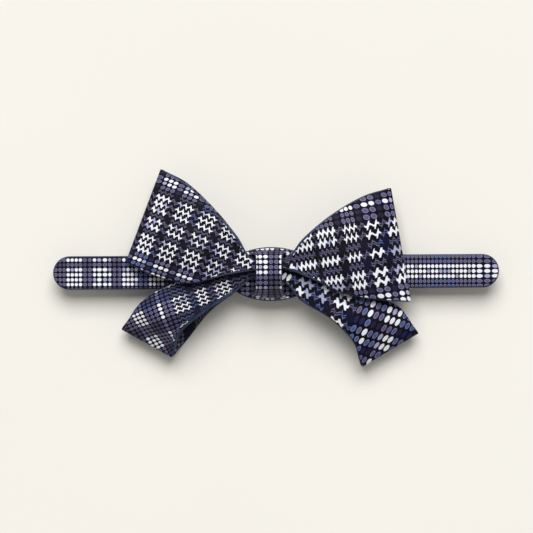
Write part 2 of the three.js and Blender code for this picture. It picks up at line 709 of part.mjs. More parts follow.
function clip(side) {
  const name = side > 0 ? "right_clip_" : "left_clip_";
  const group = new THREE.Group();
  const base = piece(name + "base_plate", clipBase(), NICKEL);
  const lever = piece(name + "lever", clipLever(), NICKEL);
  const pin = piece(name + "hinge_pin", hingePin(), STEEL);
  const spring = piece(name + "torsion_spring", torsionSpring(), STEEL);
  const rivets = Object.entries(RIVETS).map(([place, along]) => {
    const mesh = piece(name + place + "_rivet", rivet(), STEEL);
    mesh.position.x = along;
    return mesh;
  });
  group.add(base, lever, pin, spring, ...rivets);
  group.rotation.z = side > 0 ? 0 : Math.PI;
  group.position.set(side * HINGE_X, 0, HINGE_HEIGHT);
  return group;
}

// ---------------------------------------------------------------- the tie

const binding = waistBinding();
const tie = new THREE.Group();
tie.add(...strap(), ...ovalBase(), binding.mesh, ...bows(), ...knotBand(binding), ...seamStitches());
tie.add(clip(-1), clip(1));

// The frame's origin is at the middle of the tie's box, on the surface that it lies on.
tie.updateMatrixWorld(true);
const box = new THREE.Box3().setFromObject(tie, true);
tie.position.set(-(box.min.x + box.max.x) / 2, -(box.min.y + box.max.y) / 2, -box.min.z);

const root = new THREE.Group();
root.add(tie);
export default root;
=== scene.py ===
"""The looks of a pre-tied bow tie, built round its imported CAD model. Lengths are in millimetres up to
the point where a mesh is made, and in metres from there on."""

import math

import bpy
import numpy as np
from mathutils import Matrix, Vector


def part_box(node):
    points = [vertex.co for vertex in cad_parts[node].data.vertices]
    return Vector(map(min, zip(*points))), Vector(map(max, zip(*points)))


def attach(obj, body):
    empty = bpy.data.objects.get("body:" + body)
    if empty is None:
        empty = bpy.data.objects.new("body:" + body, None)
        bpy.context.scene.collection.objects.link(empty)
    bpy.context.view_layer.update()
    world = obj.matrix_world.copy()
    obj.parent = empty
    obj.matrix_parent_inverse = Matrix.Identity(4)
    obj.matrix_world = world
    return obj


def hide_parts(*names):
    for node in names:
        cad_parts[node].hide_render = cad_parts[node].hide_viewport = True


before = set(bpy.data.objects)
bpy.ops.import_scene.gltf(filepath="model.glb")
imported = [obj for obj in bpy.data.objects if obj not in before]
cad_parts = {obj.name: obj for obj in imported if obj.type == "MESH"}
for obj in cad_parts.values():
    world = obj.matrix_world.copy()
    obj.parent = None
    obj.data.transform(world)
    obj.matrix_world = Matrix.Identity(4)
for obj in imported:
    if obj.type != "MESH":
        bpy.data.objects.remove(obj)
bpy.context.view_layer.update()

MM = 0.001

# ---------------------------------------------------------------- sizes, as in the CAD

CLOTH = 0.4
CORE = 0.8
BOND = 0.14
RIM = 0.5
PLY = CORE + 2 * (BOND + CLOTH)
STRAP_LENGTH = 191.8
STRAP_WIDTH = 14.4
STRAP_BACK = 8.6
STRAP_CORE_BACK = STRAP_BACK + CLOTH + BOND
STRAP_FACE_BACK = STRAP_CORE_BACK + CORE + BOND
STRAP_TOP = STRAP_FACE_BACK + CLOTH
OVAL_X, OVAL_Y = -2.2, -0.9
OVAL_LENGTH = 39.6
OVAL_HEIGHT = 23.2
OVAL_CORE_BACK = STRAP_TOP + BOND
OVAL_FACE_BACK = OVAL_CORE_BACK + CORE + BOND
OVAL_TOP = OVAL_FACE_BACK + CLOTH
SLOT_WALL = 1.0
SLOT_CLEARANCE = 0.4
SLOT_WIDTH = CORE + BOND + CLOTH + 2 * SLOT_CLEARANCE
SLOT_MIDDLE = OVAL_HEIGHT / 2 - SLOT_WALL - SLOT_WIDTH / 2
KNOT_X = -3.1
KNOT_WIDTH = 11.4
WAIST_REACH = 6.5
BINDING = 0.4
LOWER_BACK = OVAL_TOP + BOND + BINDING + BOND + PLY / 2
LOWER_FRONT = LOWER_BACK + PLY + BOND
UPPER_BACK = LOWER_FRONT + PLY + BOND
UPPER_FRONT = UPPER_BACK + PLY + BOND
CREST = UPPER_FRONT + PLY / 2 + BOND + BINDING + BOND + CORE / 2
ON_STRAP = STRAP_TOP + BOND + PLY / 2
ON_TABLE = PLY / 2

# The design's origin is the strap's middle in X and Y and the surface under the tie in Z. The packed
# frame's is elsewhere, so every point is shifted by where the strap's core has gone.
core_low, core_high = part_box("strap_core")
SHIFT = np.array(
    [
        (core_low.x + core_high.x) / 2 / MM,
        (core_low.y + core_high.y) / 2 / MM,
        core_low.z / MM - STRAP_CORE_BACK,
    ]
)


def in_frame(points):
    """Points in design millimetres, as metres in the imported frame."""
    return (np.asarray(points, float) + SHIFT) * MM


# ---------------------------------------------------------------- shader arithmetic


class Wire:
    """A socket that arithmetic can be written with."""

    def __init__(self, tree, socket):
        self.tree, self.socket = tree, socket

    def math(self, operation, *others):
        node = self.tree.nodes.new("ShaderNodeMath")
        node.operation = operation
        for slot, value in zip(node.inputs, (self, *others)):
            if isinstance(value, Wire):
                self.tree.links.new(value.socket, slot)
            else:
                slot.default_value = value
        return Wire(self.tree, node.outputs[0])

    def __add__(self, other):
        return self.math("ADD", other)

    def __sub__(self, other):
        return self.math("SUBTRACT", other)

    def __mul__(self, other):
        return self.math("MULTIPLY", other)

    def __truediv__(self, other):
        return self.math("DIVIDE", other)

    def below(self, other):
        return self.math("LESS_THAN", other)

    def floor(self):
        return self.math("FLOOR")

    def fraction(self):
        return self.math("FRACT")

    def absolute(self):
        return self.math("ABSOLUTE")

    def power(self, other):
        return self.math("POWER", other)

    def larger(self, other):
        return self.math("MAXIMUM", other)

    def wave(self):
        return self.math("SINE")

    def flipped(self):
        """One minus this."""
        return (self * -1) + 1


class Look:
    """A material whose Principled shader is fed by a small graph of nodes."""

    def __init__(self, name, roughness, metallic=0.0, specular=0.5):
        self.material = bpy.data.materials.new(name)
        self.material.use_nodes = True
        self.tree = self.material.node_tree
        self.shader = self.tree.nodes["Principled BSDF"]
        self.shader.inputs["Roughness"].default_value = roughness
        self.shader.inputs["Metallic"].default_value = metallic
        self.shader.inputs["Specular IOR Level"].default_value = specular

    def put(self, name, wire):
        self.tree.links.new(wire.socket, self.shader.inputs[name])

    def set(self, **values):
        for name, value in values.items():
            self.shader.inputs[name.replace("_", " ")].default_value = value

    def coordinates(self):
        return self.tree.nodes.new("ShaderNodeTexCoord").outputs["Object"]

    def flat_coordinates(self):
        """The object's own X and Y, as wires."""
        parts = self.tree.nodes.new("ShaderNodeSeparateXYZ")
        self.tree.links.new(self.coordinates(), parts.inputs[0])
        return Wire(self.tree, parts.outputs[0]), Wire(self.tree, parts.outputs[1])

    def cloth_map(self):
        """The two coordinates of the cloth map, in cells along and across the piece."""
        node = self.tree.nodes.new("ShaderNodeUVMap")
        node.uv_map = CLOTH_MAP
        parts = self.tree.nodes.new("ShaderNodeSeparateXYZ")
        self.tree.links.new(node.outputs[0], parts.inputs[0])
        return Wire(self.tree, parts.outputs[0]), Wire(self.tree, parts.outputs[1])

    def noise(self, scale, detail=2.0, vector=None, distortion=0.0):
        node = self.tree.nodes.new("ShaderNodeTexNoise")
        node.inputs["Scale"].default_value = scale
        node.inputs["Detail"].default_value = detail
        node.inputs["Distortion"].default_value = distortion
        self.tree.links.new(vector or self.coordinates(), node.inputs["Vector"])
        return Wire(self.tree, node.outputs["Fac"])

    def cell_noise(self, x, y):
        """One random number for each whole cell."""
        joined = self.tree.nodes.new("ShaderNodeCombineXYZ")
        self.tree.links.new(x.socket, joined.inputs[0])
        self.tree.links.new(y.socket, joined.inputs[1])
        node = self.tree.nodes.new("ShaderNodeTexWhiteNoise")
        node.noise_dimensions = "2D"
        self.tree.links.new(joined.outputs[0], node.inputs["Vector"])
        return Wire(self.tree, node.outputs["Value"])

    def step(self, wire, low, high):
        """0 below low, 1 above high, and smooth in between."""
        node = self.tree.nodes.new("ShaderNodeMapRange")
        node.interpolation_type = "SMOOTHSTEP"
        node.inputs["From Min"].default_value = low
        node.inputs["From Max"].default_value = high
        self.tree.links.new(wire.socket, node.inputs["Value"])
        return Wire(self.tree, node.outputs[0])

    def mix(self, share, first, second):
        """Colours are given as hex text or as a wire."""
        node = self.tree.nodes.new("ShaderNodeMix")
        node.data_type = "RGBA"
        self.tree.links.new(share.socket, node.inputs[0])
        for slot, colour in ((node.inputs[6], first), (node.inputs[7], second)):
            if isinstance(colour, Wire):
                self.tree.links.new(colour.socket, slot)
            else:
                slot.default_value = linear(colour)
        return Wire(self.tree, node.outputs[2])

    def multiply(self, colour, shade):
        """A colour made darker by shade."""
        node = self.tree.nodes.new("ShaderNodeMix")
        node.data_type = "RGBA"
        node.blend_type = "MULTIPLY"
        node.inputs[0].default_value = 1.0
        self.tree.links.new(colour.socket, node.inputs[6])
        self.tree.links.new(shade.socket, node.inputs[7])
        return Wire(self.tree, node.outputs[2])

    def bump(self, height, distance, strength):
        node = self.tree.nodes.new("ShaderNodeBump")
        node.inputs["Strength"].default_value = strength
        node.inputs["Distance"].default_value = distance
        self.tree.links.new(height.socket, node.inputs["Height"])
        self.put("Normal", Wire(self.tree, node.outputs[0]))

    def stripes(self, recipe, position):
        """Reads a recipe of cells, one letter each, at a whole cell number. Returns whether the stripe is
        bright, and whether it makes teeth."""
        ramp = self.tree.nodes.new("ShaderNodeValToRGB")
        ramp.color_ramp.interpolation = "CONSTANT"
        elements = ramp.color_ramp.elements
        elements.remove(elements[1])
        previous = None
        for i, letter in enumerate(recipe):
            if letter == previous:
                continue
            element = elements[0] if i == 0 else elements.new(i / len(recipe))
            element.color = (letter.isupper(), letter.upper() not in DOTTED, 0, 1)
            previous = letter
        middle = ((position + 0.5) / len(recipe)).fraction()
        self.tree.links.new(middle.socket, ramp.inputs[0])
        parts = self.tree.nodes.new("ShaderNodeSeparateColor")
        self.tree.links.new(ramp.outputs[0], parts.inputs[0])
        return [Wire(self.tree, parts.outputs[i]) for i in range(2)]


def linear(text):
    """A colour written as #rrggbb, in linear light."""
    values = [int(text[i : i + 2], 16) / 255 for i in (1, 3, 5)]
    return [v / 12.92 if v <= 0.04045 else ((v + 0.055) / 1.055) ** 2.4 for v in values] + [1]


# ---------------------------------------------------------------- materials

CLOTH_MAP = "cloth"
# The stripes' widths in millimetres. A recipe spells them out, in capitals where the stripe is bright.
CELL = {"D": 2.15, "E": 2.5, "F": 3.0, "B": 1.75, "S": 2.0, "T": 2.45, "M": 2.9, "W": 3.4, "P": 4.1}
DOTTED = "DEF"  # the others make teeth where two of them cross

# Pairs of yarns: for the cells that no bright stripe crosses, and for those that two cross.
DIMS = ("#241e36", "#1e2050")
BRIGHTER_DIMS = ("#4a455f", "#3c436f")
PALES = ("#f0f1fb", "#a9abcc")
# for the loops' insides: the cloth's duller reverse, dimmed further as painted shade
REVERSE_AND_SHADE_PALES = ("#8b88a8", "#5d5b80")

# The figures' sizes, as shares of a cell.
SIZE_SPREAD = 0.16
DOT_HALF_WIDTH, DOT_HALF_HEIGHT = 0.40, 0.37
ARM_LEAN = 0.42
ARM_TAPER = 0.17
ARM_DRIFT = 0.1
FAT_TOOTH, SLIM_TOOTH = 0.21, 0.15
BAND_SHARE = 0.72  # of the arm's thickness
BAND_WAVE, BAND_DRIFT = 0.13, 0.06
STRAND_GAP, STRAND_HALF_WIDTH, STRAND_ARM = 0.12, 0.055, 0.1
TWILL_SHARE = 0.45
STRAND_STRENGTH, TWILL_STRENGTH = 0.75, 0.4
THREADS_PER_CELL = 6
BLUE_FROM, BLUE_TO, BLOOM_STRENGTH = 0.66, 0.72, 0.3


def woven(name, along, across, bloom, slant=0.0, latticed=0.0, dims=BRIGHTER_DIMS, pales=PALES):
    """The checked cloth. Its stripes cross as in a glen check: a cell is white where two bright stripes
    cross, lilac or periwinkle on one, and dark on none; it is a tooth where two tooth stripes cross.
    bloom raises the share of periwinkle, slant leans the dots, and latticed is the share of teeth that
    make a lattice."""
    look = Look(name, roughness=0.62, specular=0.12)
    way = 1 if slant <= 0 else -1
    u, v = look.cloth_map()
    cell_u, cell_v = u.floor(), v.floor()
    x, y = u - cell_u - 0.5, v - cell_v - 0.5
    bright_u, tooth_u = look.stripes(along, cell_u)
    bright_v, tooth_v = look.stripes(across, cell_v)
    both = bright_u * bright_v
    one = bright_u.larger(bright_v) - both
    tooth = tooth_u * tooth_v
    chance = look.cell_noise(cell_u, cell_v)
    other = look.cell_noise(cell_v, cell_u + 17)

    # a dot is a lens that leans; no two are quite alike
    size = chance * SIZE_SPREAD + (1 - SIZE_SPREAD / 2)
    lean = y + x * slant
    radius = (x / size / DOT_HALF_WIDTH).power(2) + (lean / DOT_HALF_HEIGHT).power(2)
    dot = radius.below(1.0)

    # a tooth is a leaning arm across a wavy band, slim where it makes a lattice and fat where it stands
    # alone; one bright stripe alone makes a double strand, and none a faint twill
    lattice = (look.noise(30.0, 0.0) + (chance - 0.5) * 0.1).below(latticed)
    thickness = lattice * (SLIM_TOOTH - FAT_TOOTH) + FAT_TOOTH
    leaning = (x + y * (ARM_LEAN * way) + (other - 0.5) * ARM_DRIFT).absolute() / size
    arm = leaning + y.absolute() * ARM_TAPER
    band = y + (x * 2 * math.pi).wave() * BAND_WAVE * way + (chance - 0.5) * BAND_DRIFT
    whole = arm.below(thickness).larger(band.absolute().below(thickness * BAND_SHARE))
    strand = (band.absolute() - STRAND_GAP).absolute().below(STRAND_HALF_WIDTH).larger(arm.below(STRAND_ARM))
    twill = ((u + v) * 2).fraction().below(TWILL_SHARE)
    faint = one * strand * STRAND_STRENGTH + one.flipped() * twill * TWILL_STRENGTH
    teeth = both * whole + both.flipped() * faint
    shape = dot * tooth.flipped() + teeth * tooth

    # the yarns' own colours
    patch = look.step(look.noise(90.0, 1.0), 0.42, 0.6)
    warm = look.step(look.noise(60.0, 1.0, distortion=0.3), 0.5, 0.62)
    ground = look.mix(warm, look.mix(patch, "#05060c", "#0b0b26"), "#120d18")
    raised = BLOOM_STRENGTH * bloom
    blue = look.step(look.noise(45.0, 0.0) + (chance - 0.5) * 0.3, BLUE_FROM - raised, BLUE_TO - raised)
    heart = look.mix(blue, "#5c5777", "#4d5787")
    soft = look.mix(look.step(radius, 0.25, 0.9), heart, look.mix(blue, "#827da0", "#7480b4"))
    dim = look.mix(blue, *dims)
    pale = look.mix(chance.below(0.16), *pales)
    yarn = look.mix(both, look.mix(one, dim, soft), pale)
    figure = look.mix(shape, ground, yarn)

    # the weave: fine threads both ways, and figures that stand a little proud
    across_threads, along_threads = (w * THREADS_PER_CELL for w in (u, v))
    threads = (across_threads.fraction() - 0.5).absolute() + (along_threads.fraction() - 0.5).absolute()
    look.put("Base Color", look.multiply(figure, threads * 0.2 + 0.86))
    look.put("Roughness", shape * -0.12 + 0.68)
    rib = ((u + v) * (2 * THREADS_PER_CELL) * math.pi).wave()
    look.bump(threads.flipped() * 0.5 + shape * 0.5 + rib * 0.1, 0.00006, 0.6)
    look.set(Sheen_Weight=0.03, Sheen_Roughness=0.4, Sheen_Tint=linear("#8f95c8"))
    return look.material


def pressed_edge():
    """The navy edge: a pressed cut edge, with soft lighter patches that are partly wear and partly a painted
    highlight.
    """
    look = Look("navy_pressed_edge", roughness=0.55, specular=0.45)
    fleck = look.noise(2600.0, 3.0)
    # lighter patches on the edge: partly wear, partly a painted highlight
    wear_and_highlight = look.step(look.noise(260.0, 2.0), 0.45, 0.72)
    look.put("Base Color", look.mix(wear_and_highlight * 0.4, look.mix(fleck, "#101c36", "#1f3355"), "#35507a"))
    look.put("Roughness", fleck * 0.25 + 0.45)
    look.bump(fleck, 0.00005, 0.5)
    look.set(Sheen_Weight=0.04, Sheen_Roughness=0.5)
    return look.material


def satin_lining():
    """The strap's plain back: a fine diagonal twill."""
    look = Look("navy_satin_lining", roughness=0.45, specular=0.5)
    x, y = look.flat_coordinates()
    twill = ((x + y * 1.7) * (2 * math.pi / 0.00045)).wave() * 0.5 + 0.5
    cloudy = look.noise(120.0, 3.0)
    look.put("Base Color", look.mix(twill * 0.6 + cloudy * 0.4, "#141a30", "#26305a"))
    look.put("Roughness", twill * 0.15 + 0.38)
    look.bump(twill, 0.00004, 0.6)
    return look.material


def twisted_thread():
    look = Look("navy_twisted_thread", roughness=0.6, specular=0.4)
    x, y = look.flat_coordinates()
    twist = ((x * 1.4 + y) * (2 * math.pi / 0.0007)).wave() * 0.5 + 0.5
    look.put("Base Color", look.mix(twist, "#141c36", "#2f4378"))
    look.put("Roughness", look.noise(900.0) * 0.3 + 0.45)
    look.bump(twist, 0.00008, 0.7)
    return look.material


def nickel():
    """Bright plate over stamped sheet: fine polishing lines, faint clouds and rubbed spots."""
    look = Look("bright_nickel_plate", roughness=0.2, metallic=1.0)
    drawn_out = look.tree.nodes.new("ShaderNodeMapping")
    drawn_out.inputs["Scale"].default_value = (0.06, 1.0, 1.0)
    look.tree.links.new(look.coordinates(), drawn_out.inputs[0])
    lines = look.noise(5200.0, 3.0, vector=drawn_out.outputs[0])
    cloud = look.noise(240.0, 3.0)
    look.put("Base Color", look.mix(cloud, "#b4b7bd", "#d6d8dc"))
    look.put("Roughness", lines * 0.18 + look.step(cloud, 0.5, 0.75) * 0.12 + 0.14)
    look.bump(lines, 0.00001, 0.5)
    return look.material


def spring_wire():
    look = Look("drawn_spring_wire", roughness=0.3, metallic=1.0)
    lines = look.noise(3800.0, 3.0)
    look.put("Base Color", look.mix(lines, "#7d8188", "#a9adb4"))
    look.put("Roughness", lines * 0.2 + 0.25)
    look.bump(lines, 0.00001, 0.6)
    return look.material


# ---------------------------------------------------------------- ribbons


def ring_points(points, where):
    """Centripetal Catmull-Rom points on the closed curve through points. where holds a station's number and
    the share of the way to the next station."""
    points = np.asarray(points, float)
    found = []
    for i, w in where:
        p0, p1, p2, p3 = (points[(i + k) % len(points)] for k in (-1, 0, 1, 2))
        d0, d1, d2 = (max(np.linalg.norm(b - a), 1e-4) ** 0.5 for a, b in ((p0, p1), (p1, p2), (p2, p3)))
        t1 = ((p1 - p0) / d0 - (p2 - p0) / (d0 + d1) + (p2 - p1) / d1) * d1
        t2 = ((p2 - p1) / d1 - (p3 - p1) / (d1 + d2) + (p3 - p2) / d2) * d1
        c2 = -3 * p1 + 3 * p2 - 2 * t1 - t2
        c3 = 2 * p1 - 2 * p2 + t1 + t2
        found.append(p1 + t1 * w + c2 * w**2 + c3 * w**3)
    return np.array(found)


def ribbon_grid(stations, columns, steps):
    """Rows of points round the ring. A station is its bottom, middle and top point."""
    where = [(i, k / steps) for i in range(len(stations)) for k in range(steps)]
    bottom, middle, top = (ring_points([s[k] for s in stations], where) for k in range(3))
    t = np.linspace(-1, 1, columns + 1)[None, :, None]
    rows = bottom[:, None] * t * (t - 1) / 2 + middle[:, None] * (1 - t**2) + top[:, None] * t * (t + 1) / 2
    return rows


def unit(vectors):
    return vectors / np.maximum(np.linalg.norm(vectors, axis=-1, keepdims=True), 1e-9)


def grid_normals(rows):
    along = np.roll(rows, -1, 0) - np.roll(rows, 1, 0)
    across = np.gradient(rows, axis=1)
    return unit(np.cross(along, across))


def unrolled(rows):
    """The open ribbon laid flat, row by row, with its lengths kept: plane points for each grid point."""
    c = rows.shape[1] // 2
    gaps = np.linalg.norm(np.diff(rows, axis=1), axis=2)
    reach = np.concatenate([np.zeros((len(rows), 1)), np.cumsum(gaps, 1)], 1)
    reach -= reach[:, c : c + 1]
    across = unit(rows[:, c + 1] - rows[:, c - 1])
    middle, turn = np.zeros(2), math.pi / 2
    flat = []
    for i in range(len(rows)):
        direction = np.array([math.cos(turn), math.sin(turn)])
        flat.append(middle + reach[i][:, None] * direction)
        if i + 1 < len(rows):
            step = rows[i + 1, c] - rows[i, c]
            length = np.linalg.norm(step)
            leave = math.acos(np.clip(across[i] @ step / length, -1, 1))
            arrive = math.acos(np.clip(across[i + 1] @ step / length, -1, 1))
            heading = turn - leave
            middle = middle + length * np.array([math.cos(heading), math.sin(heading)])
            turn = heading + arrive
    return np.array(flat)


def laid_over(flat, seen, count):
    """Turns and shifts flat so that its first count rows lie as nearly as they can over seen."""
    a, b = flat[:count].reshape(-1, 2), seen[:count].reshape(-1, 2)
    ca, cb = a.mean(0), b.mean(0)
    u, _, vt = np.linalg.svd((a - ca).T @ (b - cb))
    sign = np.sign(np.linalg.det(u @ vt))
    turn = u @ np.diag([1, sign]) @ vt
    return (flat - ca) @ turn + cb


def cell_numbers(distance, recipe):
    """Which cell of a recipe each distance falls in, with its fraction. The recipe repeats both ways."""
    widths = [CELL[letter.upper()] for letter in recipe]
    edges = np.concatenate([[0], np.cumsum(widths)])
    total, count = edges[-1], len(recipe)
    turns = np.floor(distance / total)
    return np.interp(distance - turns * total, edges, np.arange(count + 1)) + turns * count


def cloth_cells(plane, cut):
    """Plane points in millimetres as cells of the check, along and across its grain."""
    angle = math.radians(cut["grain"])
    offset = plane - np.array(cut["start"])
    u = offset[..., 0] * math.cos(angle) + offset[..., 1] * math.sin(angle)
    v = -offset[..., 0] * math.sin(angle) + offset[..., 1] * math.cos(angle)
    return np.stack([cell_numbers(u, cut["along"]), cell_numbers(v, cut["across"])], -1)


OUTER_COLUMNS = (1, 0.66, 0.33)  # their shares of what is drawn in, so that none passes the next
ROUND_TURNS = (math.pi / 6, math.pi / 3, math.pi / 2, 2 * math.pi / 3, 5 * math.pi / 6)


def ribbon_mesh(name, rows, normals, low, high, rim, cells=None, owners=None, closed=True):
    """One layer of a ribbon: a solid between two heights over the grid, drawn in by rim at its long edges,
    which are round. cells are the cloth map's corners, and owners the material number of each row."""
    n, m = rows.shape[0], rows.shape[1]
    rows = rows.copy()
    normals = normals.copy()
    outward = []
    for side, j, step in ((0, 0, 1), (1, m - 1, -1)):
        wanted = rim[side] if isinstance(rim, tuple) else np.full(n, rim)
        gap = rows[:, j + step] - rows[:, j]
        outward.append(-unit(gap))
        for k, share in enumerate(OUTER_COLUMNS):
            rows[:, j + k * step] += -outward[side] * (wanted * share)[:, None]
    half = (high - low) / 2
    profile = [(j, high, 0.0, None) for j in range(m)]
    profile += [(m - 1, (high + low) / 2 + half * math.cos(a), half * math.sin(a), 1) for a in ROUND_TURNS]
    profile += [(j, low, 0.0, None) for j in reversed(range(m))]
    profile += [(0, (high + low) / 2 - half * math.cos(a), half * math.sin(a), 0) for a in ROUND_TURNS]
    points = np.empty((n, len(profile), 3))
    for k, (j, height, out, side) in enumerate(profile):
        points[:, k] = rows[:, j] + normals[:, j] * height
        if side is not None:
            points[:, k] += outward[side] * out
    count = len(profile)
    columns = [j for j, *_ in profile]
    faces, corners, slots = [], [], []
    for i in range(n if closed else n - 1):
        i2 = (i + 1) % n
        for k in range(count):
            k2 = (k + 1) % count
            faces.append((i * count + k, i2 * count + k, i2 * count + k2, i * count + k2))
            if cells is not None:
                corners += [cells[i, 0, columns[k]], cells[i, 1, columns[k]]]
                corners += [cells[i, 1, columns[k2]], cells[i, 0, columns[k2]]]
                slots.append(owners[i])
    if not closed:
        for i, order in ((0, list(reversed(range(count)))), (n - 1, list(range(count)))):
            faces.append(tuple(i * count + k for k in order))
            if cells is not None:
                corners += [cells[i, 0, columns[k]] for k in order]
                slots.append(owners[i])
    return solid_mesh(name, points.reshape(-1, 3), faces, corners, slots)


def solid_mesh(name, points, faces, corners=(), slots=()):
    mesh = bpy.data.meshes.new(name)
    mesh.from_pydata([tuple(p) for p in in_frame(points)], [], faces)
    if len(corners):
        layer = mesh.uv_layers.new(name=CLOTH_MAP)
        layer.data.foreach_set("uv", np.asarray(corners, np.float32).ravel())
        mesh.polygons.foreach_set("material_index", list(slots))
    mesh.polygons.foreach_set("use_smooth", [True] * len(mesh.polygons))
    mesh.update()
    made = bpy.data.objects.new(name, mesh)
    bpy.context.scene.collection.objects.link(made)
    return made


def dress(piece, looks, nodes, area):
    """Gives a piece its materials and its body, and hides its CAD node. area, in millimetres, is not used.
    """
    for look in looks:
        piece.data.materials.append(look)
    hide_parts(*nodes)
    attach(piece, "tie")


def sheet_area(rows, rim):
    """The area of a closed ribbon's middle surface, less its rims."""
    following = np.roll(rows, -1, 0)
    diagonals = following[:, 1:] - rows[:, :-1], rows[:, 1:] - following[:, :-1]
    areas = 0.5 * np.linalg.norm(np.cross(*diagonals), axis=2)
    length = np.linalg.norm((following - rows)[:, rows.shape[1] // 2], axis=1).sum()
    return areas.sum() - 2 * rim * length


# ---------------------------------------------------------------- the two bows

SHARES = (0.22, 0.5, 0.8)  # the stations' places between waist and fold
FOLD_LENGTH = 1.3  # times the fold's roll

# Each lobe runs from the waist to its end fold. swell is how far an edge bows up the tie from the straight
# line between its ends, height is the middle surface's, and rise lifts the ply's middle above its edges.
LOBES = {
    "upper_left": {
        "waist": {"top": (KNOT_X - WAIST_REACH, 5.4), "bottom": (KNOT_X - WAIST_REACH, 0.6)},
        "fold": {"top": (-48.6, 44.3, ON_STRAP - 0.7), "bottom": (-63.8, 4.2, ON_STRAP + 2.7), "roll": 1.6},
        "front": {
            "top": ((2.0, 3.0, 2.6), [ON_STRAP + h for h in (8.3, 6.3, 2.3)]),
            "bottom": ((-2.7, -7.1, -4.4), [ON_STRAP + h for h in (8.9, 9.3, 6.8)]),
            "rise": (-1.0, 3.0, 3.0),
        },
        "back": {
            "top": ((2.2, 3.7, 3.3), (ON_STRAP - 1.7, ON_TABLE - 0.15, ON_TABLE + 4)),
            "bottom": ((-2.5, -6.6, -4.0), [ON_STRAP + h for h in (6.4, 5.9, 3.9)]),
            "rise": (0, 3.0, 1.5),
        },
    },
    "upper_right": {
        "waist": {"top": (KNOT_X + WAIST_REACH, 5.0), "bottom": (KNOT_X + WAIST_REACH, 1.2)},
        "fold": {"top": (48.8, 35.8, ON_STRAP + 0.1), "bottom": (57.1, -13.2, ON_STRAP + 3.3), "roll": 1.6},
        "front": {
            "top": ((3.1, 4.6, 3.4), [ON_STRAP + h for h in (8.8, 7.3, 3.8)]),
            "bottom": ((-1.1, -3.7, -2.3), [ON_STRAP + h for h in (8.3, 7.8, 6.8)]),
            "rise": (-1.0, 2.5, 3.0),
        },
        "back": {
            "top": ((2.9, 4.3, 3.1), (ON_STRAP - 0.2, ON_TABLE - 0.15, ON_TABLE + 4)),
            "bottom": ((-0.8, -3.2, -2.0), [ON_STRAP + h for h in (6.0, 5.0, 3.9)]),
            "rise": (0.5, 3.8, 1.5),
        },
    },
    "lower_left": {
        "waist": {"top": (KNOT_X - WAIST_REACH, 2.0), "bottom": (KNOT_X - WAIST_REACH, -2.6)},
        "fold": {
            "top": (-66.4, -23.7, ON_STRAP - 3.7),
            "bottom": (-44.5, -36.1, ON_STRAP - 3.2),
            "roll": 3.0,
        },
        "front": {
            "top": ((3.5, 7.9, 6.6), [ON_STRAP + h for h in (3.5, 2.8, 2.4)]),
            "bottom": ((1.2, 4.0, 5.0), [ON_STRAP + h for h in (3.7, 4.8, 5.3)]),
            "rise": (0.2, 2.0, 3.0),
        },
        "back": {
            "top": ((3.3, 7.5, 6.2), [ON_STRAP + h for h in (1.7, 0.7, -0.3)]),
            "bottom": ((1.2, 2.9, 1.0), (ON_STRAP + 1.7, ON_TABLE + 3.2, ON_TABLE + 0.1)),
            "rise": (0, 3.2, 0),
        },
    },
    "lower_right": {
        "waist": {"top": (KNOT_X + WAIST_REACH, 1.6), "bottom": (KNOT_X + WAIST_REACH, -4.6)},
        "fold": {"top": (60.9, -26.1, ON_STRAP - 3.7), "bottom": (36.3, -40.6, ON_STRAP - 3.2), "roll": 2.4},
        "front": {
            "top": ((2.2, 3.6, 6.3), [ON_STRAP + h for h in (3.6, 2.0, 0.3)]),
            "bottom": ((0, 3.9, 4.4), [ON_STRAP + h for h in (3.7, 3.6, 1.8)]),
            "rise": (0.2, 1.6, 2.5),
        },
        "back": {
            "top": ((2.0, 3.2, 5.9), [ON_STRAP + h for h in (1.7, -0.2, -3.2)]),
            "bottom": ((0.2, 4.1, 4.6), (ON_STRAP + 1.7, ON_TABLE + 3.6, ON_TABLE + 0.1)),
            "rise": (0, 1.2, 0),
        },
    },
}

# How the check lies on each lobe: the angle of its grain, where its first cell starts, and its stripes.
CUTS = {
    "upper_left": {
        "grain": -22.5,
        "start": (-63.2, 6.4),
        "along": "TTTwTTTwTTTwTTTw",
        "across": "DdMMMbMMbMMMbdDDd",
        "bloom": 0.1,
        "slant": -0.25,
        "latticed": 0.52,
        "dims": DIMS,
    },
    "upper_right": {
        "grain": 10.0,
        "start": (57.4, -13.4),
        "along": "SSSSSsSSSSwSSSwWWwW",
        "across": "FFfPPpPpPPffFf",
        "bloom": -0.1,
        "slant": 0.2,
        "latticed": 0.45,
        "dims": DIMS,
    },
    "lower_left": {
        "grain": 19.0,
        "start": (-65.3, -25.9),
        "along": "ddDDDdddDddTTTwTTwTTTwwwww",
        "across": "BBBBbbb",
        "bloom": 0.5,
        "slant": 0.1,
        "latticed": 1.0,
        "dims": BRIGHTER_DIMS,
    },
    "lower_right": {
        "grain": -18.0,
        "start": (59.8, -26.6),
        "along": "wwDDwWWwWwWWweeEeeEEEeee",
        "across": "PPp",
        "bloom": 0.3,
        "slant": -0.35,
        "latticed": 0.0,
        "dims": DIMS,
    },
}

# How much navy shows at the bottom and top edge of each lobe's plies, halfway out. It narrows towards the
# fold and the waist, where the front plies turn a wider lip up.
MARGIN_AT_ENDS = 0.3  # share of what shows halfway
LIP_SHARE = 0.07  # of the ply's width there
LIP_REACH = 0.06  # share of the ring
MARGINS = {
    "upper_left": {"front": (0.45, 0.75), "back": (0.45, 0.6)},
    "upper_right": {"front": (0.6, 0.75), "back": (0.45, 0.45)},
    "lower_left": {"front": (1.5, 0.35), "back": (0.7, 0.35)},
    "lower_right": {"front": (0.7, 0.35), "back": (0.5, 0.35)},
}


def station(top, bottom, rise):
    top, bottom = np.array(top, float), np.array(bottom, float)
    return bottom, (top + bottom) / 2 + np.array([0, 0, rise]), top


